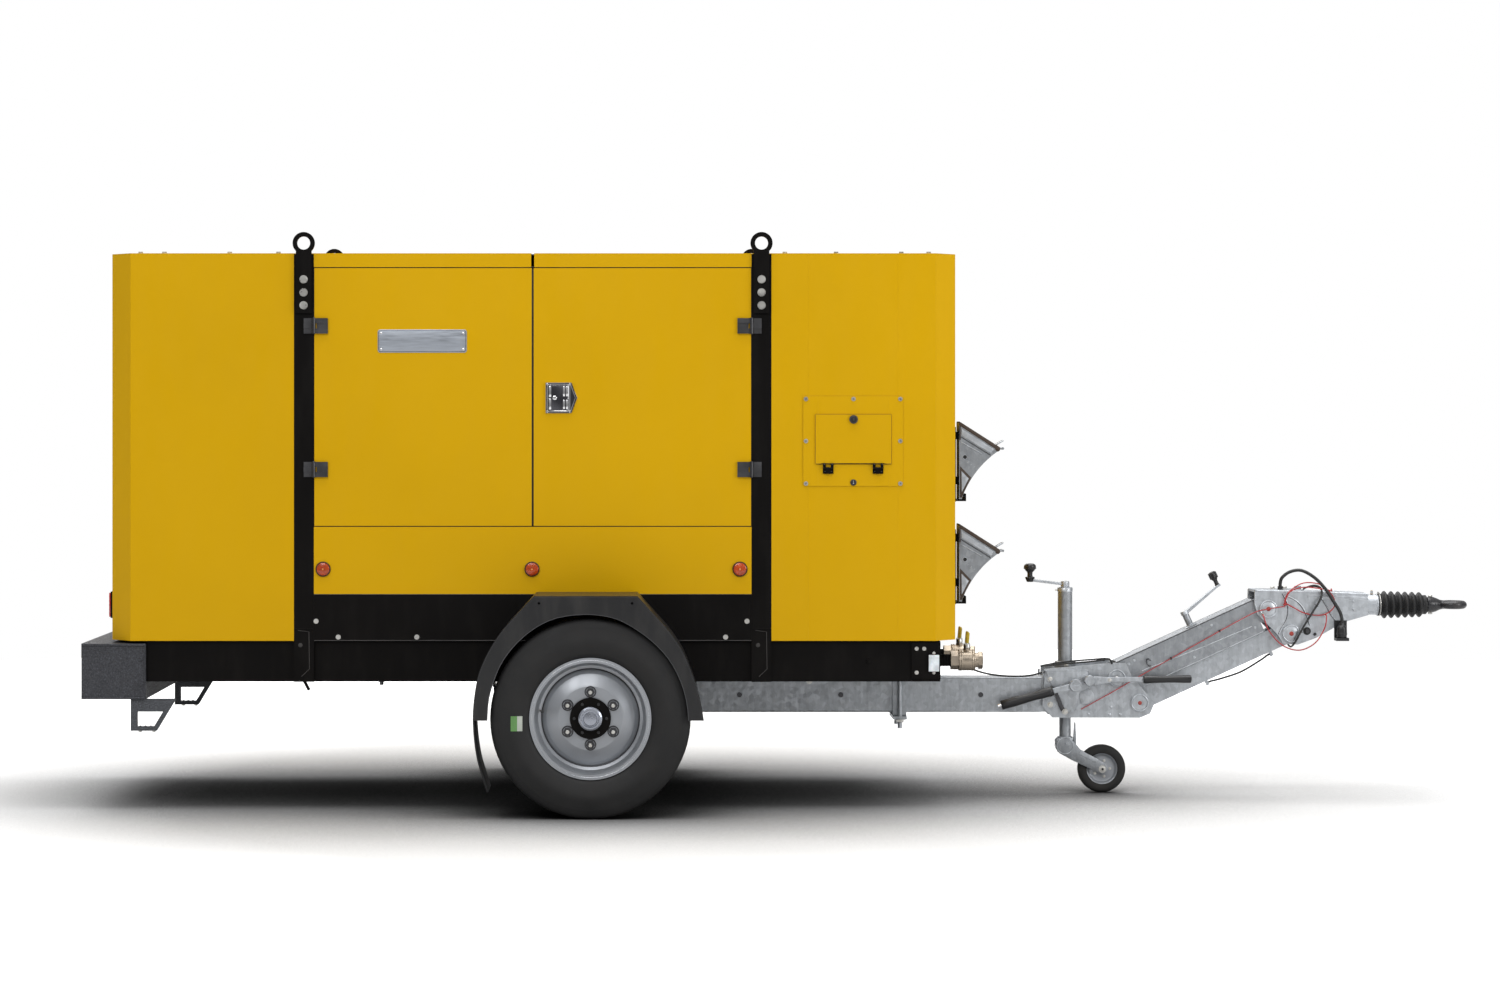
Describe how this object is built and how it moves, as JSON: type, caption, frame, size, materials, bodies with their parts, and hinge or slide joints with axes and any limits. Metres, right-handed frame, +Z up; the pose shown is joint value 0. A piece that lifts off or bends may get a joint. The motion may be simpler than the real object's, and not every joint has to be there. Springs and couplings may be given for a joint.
{
  "type": "towable diesel generator",
  "caption": "Canopied diesel generator on a single-axle trailer with opening doors, jockey wheel, parking brake and a height-adjustable drawbar with a tow eye.",
  "frame": {"origin": "on the ground under the middle of the overall length and width", "axes": "+X forward to the tow eye, +Y to the machine's left, +Z up"},
  "size_m": [5.66, 1.98, 2.296],
  "materials": {
    "yellow_paint": "semi-gloss",
    "black_paint": "satin",
    "bumper_paint": "textured",
    "galvanised": "spangled",
    "zinc_plate": "satin",
    "silver_paint": "metallic",
    "tyre_rubber": "matt",
    "black_rubber": "matt",
    "red_wire": "satin",
    "chrome_plate": "polished",
    "black_grip": "satin",
    "valve_brass": "satin",
    "amber_lens": "gloss",
    "engine_paint": "satin",
    "alternator_paint": "satin",
    "radiator_metal": "satin",
    "exhaust_metal": "satin",
    "tank_plastic": "satin",
    "fan_plastic": "satin",
    "cabinet_plastic": "satin"
  },
  "bodies": {
    "chassis": {"frame_rails": "black_paint", "rear_bumper": "bumper_paint", "axle_beam": "black_paint", "drawbar_beam": "galvanised", "mudguards": "black_paint", "mud_flaps": "black_rubber", "posts": "black_paint", "lifting_lugs": "black_paint", "fasteners": "zinc_plate", "rear_canopy": "yellow_paint", "front_canopy": "yellow_paint", "roof_panels": "yellow_paint", "lower_panels": "yellow_paint", "skirt_panels": "black_paint", "service_panel": "yellow_paint", "lamps": "amber_lens", "chock_holders": "black_paint", "valve_bodies": "valve_brass", "drawbar_head": "galvanised", "jack_tube": "galvanised", "engine": "engine_paint", "alternator": "alternator_paint", "radiator": "radiator_metal", "silencer": "exhaust_metal", "fuel_tank": "tank_plastic", "electrics": "cabinet_plastic", "front_cable": "black_rubber"},
    "wheel_right": {"rim_right": "silver_paint", "tyre_right": "tyre_rubber"},
    "wheel_left": {"rim_left": "silver_paint", "tyre_left": "tyre_rubber"},
    "door_right_rear": {"door_right_rear": "yellow_paint"},
    "door_right_front": {"door_right_front": "yellow_paint"},
    "door_left_rear": {"door_left_rear": "yellow_paint"},
    "door_left_front": {"door_left_front": "yellow_paint"},
    "latch_right": {"latch_right": "chrome_plate"},
    "latch_left": {"latch_left": "chrome_plate"},
    "service_flap": {"service_flap": "yellow_paint"},
    "valve_lever_outer": {"valve_lever_outer": "yellow_paint"},
    "valve_lever_inner": {"valve_lever_inner": "yellow_paint"},
    "brake_lever": {"brake_lever": "black_grip"},
    "brake_button": {"brake_button": "chrome_plate"},
    "clamp_lever": {"clamp_lever": "black_grip"},
    "upper_arm": {"upper_link": "galvanised"},
    "lower_arm": {"lower_link": "galvanised", "arm_cable": "black_rubber"},
    "link_crank": {"link_crank": "black_paint"},
    "hitch": {"hitch_head": "galvanised", "bellows": "black_rubber", "head_cable": "black_rubber", "breakaway_wire": "red_wire", "plug": "black_rubber"},
    "eye": {"tow_eye": "black_paint"},
    "jack_leg": {"jack_inner": "galvanised"},
    "jockey_swivel": {"jockey_fork": "galvanised"},
    "jockey_wheel": {"jockey_wheel": "black_rubber"},
    "jack_crank": {"jack_crank": "black_paint"},
    "chock_upper": {"chock_upper": "galvanised"},
    "chock_lower": {"chock_lower": "galvanised"},
    "fan": {"fan": "fan_plastic"}
  },
  "joints": [
    {"name": "wheel_right_spin", "type": "hinge", "parent": "chassis", "child": "wheel_right", "pos_m": [-0.802, -0.8625, 0.39], "axis": [0, 1, 0], "continuous": true},
    {"name": "wheel_left_spin", "type": "hinge", "parent": "chassis", "child": "wheel_left", "pos_m": [-0.802, 0.8625, 0.39], "axis": [0, 1, 0], "continuous": true},
    {"name": "door_right_rear_swing", "type": "hinge", "parent": "chassis", "child": "door_right_rear", "pos_m": [-1.906, -0.648, 1.64], "axis": [0, 0, -1], "range_deg": [0, 110]},
    {"name": "door_right_front_swing", "type": "hinge", "parent": "chassis", "child": "door_right_front", "pos_m": [-0.167, -0.648, 1.64], "axis": [0, 0, 1], "range_deg": [0, 110]},
    {"name": "door_left_rear_swing", "type": "hinge", "parent": "chassis", "child": "door_left_rear", "pos_m": [-1.906, 0.648, 1.64], "axis": [0, 0, 1], "range_deg": [0, 110]},
    {"name": "door_left_front_swing", "type": "hinge", "parent": "chassis", "child": "door_left_front", "pos_m": [-0.167, 0.648, 1.64], "axis": [0, 0, -1], "range_deg": [0, 110]},
    {"name": "latch_right_pull", "type": "hinge", "parent": "door_right_front", "child": "latch_right", "pos_m": [-0.896, -0.6452, 1.6375], "axis": [0, 0, 1], "range_deg": [0, 35], "stiffness_Nm_per_rad": 0.5, "springref_deg": -11.46},
    {"name": "latch_left_pull", "type": "hinge", "parent": "door_left_front", "child": "latch_left", "pos_m": [-0.896, 0.6452, 1.6375], "axis": [0, 0, -1], "range_deg": [0, 35], "stiffness_Nm_per_rad": 0.5, "springref_deg": -11.46},
    {"name": "flap_drop", "type": "hinge", "parent": "chassis", "child": "service_flap", "pos_m": [0.2375, -0.652, 1.357], "axis": [1, 0, 0], "range_deg": [0, 150]},
    {"name": "valve_turn_outer", "type": "hinge", "parent": "chassis", "child": "valve_lever_outer", "pos_m": [0.706, -0.45, 0.64], "axis": [0, 0, 1], "range_deg": [0, 90]},
    {"name": "valve_turn_inner", "type": "hinge", "parent": "chassis", "child": "valve_lever_inner", "pos_m": [0.706, -0.13, 0.64], "axis": [0, 0, 1], "range_deg": [0, 90]},
    {"name": "brake_pull", "type": "hinge", "parent": "chassis", "child": "brake_lever", "pos_m": [1.187, -0.12, 0.454], "axis": [0, 1, 0], "range_deg": [0, 70]},
    {"name": "brake_button_press", "type": "slide", "parent": "brake_lever", "child": "brake_button", "axis": [0.9631, 0, 0.2693], "range_m": [0, 0.01], "stiffness_N_per_m": 400, "springref_m": -0.004},
    {"name": "clamp_lift", "type": "hinge", "parent": "chassis", "child": "clamp_lever", "pos_m": [1.245, -0.12, 0.474], "axis": [0, -1, 0], "range_deg": [0, 60]},
    {"name": "arm_lift", "type": "hinge", "parent": "chassis", "child": "upper_arm", "pos_m": [1.362, 0, 0.481], "axis": [0, -1, 0], "range_deg": [-24, 20]},
    {"name": "lower_arm_lift", "type": "hinge", "parent": "chassis", "child": "lower_arm", "pos_m": [1.457, 0, 0.379], "axis": [0, -1, 0], "range_deg": [-24, 20]},
    {"name": "hitch_level", "type": "hinge", "parent": "upper_arm", "child": "hitch", "pos_m": [1.98962, 0, 0.76769], "axis": [0, -1, 0], "range_deg": [-20, 24]},
    {"name": "link_crank_turn", "type": "hinge", "parent": "upper_arm", "child": "link_crank", "pos_m": [1.65929, 0, 0.73993], "axis": [-0.4155, 0, 0.9096], "continuous": true},
    {"name": "overrun", "type": "slide", "parent": "hitch", "child": "eye", "axis": [-1, 0, 0], "range_m": [0, 0.045], "stiffness_N_per_m": 8000, "springref_m": -0.02},
    {"name": "jack_travel", "type": "slide", "parent": "chassis", "child": "jack_leg", "axis": [0, 0, 1], "range_m": [-0.12, 0.07]},
    {"name": "jack_crank_turn", "type": "hinge", "parent": "chassis", "child": "jack_crank", "pos_m": [1.158, 0, 0.866], "axis": [0, 0, 1], "range_deg": [-5400, 3150]},
    {"name": "jockey_caster", "type": "hinge", "parent": "jack_leg", "child": "jockey_swivel", "pos_m": [1.158, 0, 0.21], "axis": [0, 0, 1], "continuous": true},
    {"name": "jockey_spin", "type": "hinge", "parent": "jockey_swivel", "child": "jockey_wheel", "pos_m": [1.309, 0, 0.1], "axis": [0, 1, 0], "continuous": true},
    {"name": "chock_upper_lift", "type": "slide", "parent": "chassis", "child": "chock_upper", "axis": [0, 0, 1], "range_m": [0, 0.06]},
    {"name": "chock_lower_lift", "type": "slide", "parent": "chassis", "child": "chock_lower", "axis": [0, 0, 1], "range_m": [0, 0.06]},
    {"name": "fan_spin", "type": "hinge", "parent": "chassis", "child": "fan", "pos_m": [-1.24, 0, 1.03], "axis": [1, 0, 0], "continuous": true}
  ],
  "couplings": [
    {"joint": "lower_arm_lift", "follows": "arm_lift", "ratio": 1},
    {"joint": "hitch_level", "follows": "arm_lift", "ratio": -1},
    {"joint": "jack_crank_turn", "follows": "jack_travel", "rad_per_m": 785.4}
  ]
}
